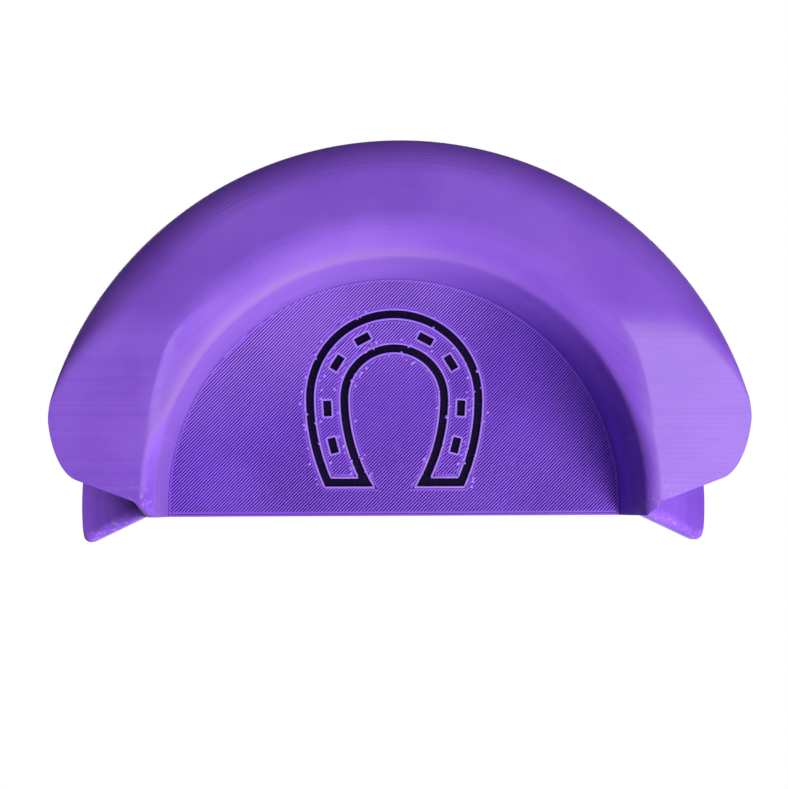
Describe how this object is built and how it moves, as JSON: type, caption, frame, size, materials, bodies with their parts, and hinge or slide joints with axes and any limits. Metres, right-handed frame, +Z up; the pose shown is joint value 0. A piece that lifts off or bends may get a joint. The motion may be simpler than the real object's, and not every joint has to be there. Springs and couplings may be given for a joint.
{
  "type": "bridle rack",
  "caption": "Half-round wall rack for a bridle: a drum with a broad rounded front lip and bevelled ends, a flared foot with wings, a wall plate and a push-in face plate.",
  "frame": {"origin": "on the wall plane, on the common axis of the drum, the lip and the foot", "axes": "+Z up, -Y straight out from the wall towards the viewer, +X to the viewer's right"},
  "size_m": [0.1102, 0.048, 0.0633],
  "materials": {
    "purple_print": "purple printed plastic with fine layer lines",
    "face_print": "purple printed plastic with slanting top-skin lines and dark engraving",
    "screw_steel": "zinc-plated steel"
  },
  "bodies": {
    "rack": {"wall_plate": "purple_print", "saddle": "purple_print", "front_lip": "purple_print", "saddle_screws": "screw_steel"},
    "cover": {"face_plate": "face_print"}
  },
  "joints": [
    {"name": "face_plate_pull", "type": "slide", "parent": "rack", "child": "cover", "axis": [0, -1, 0], "range_m": [0, 0.05]}
  ]
}
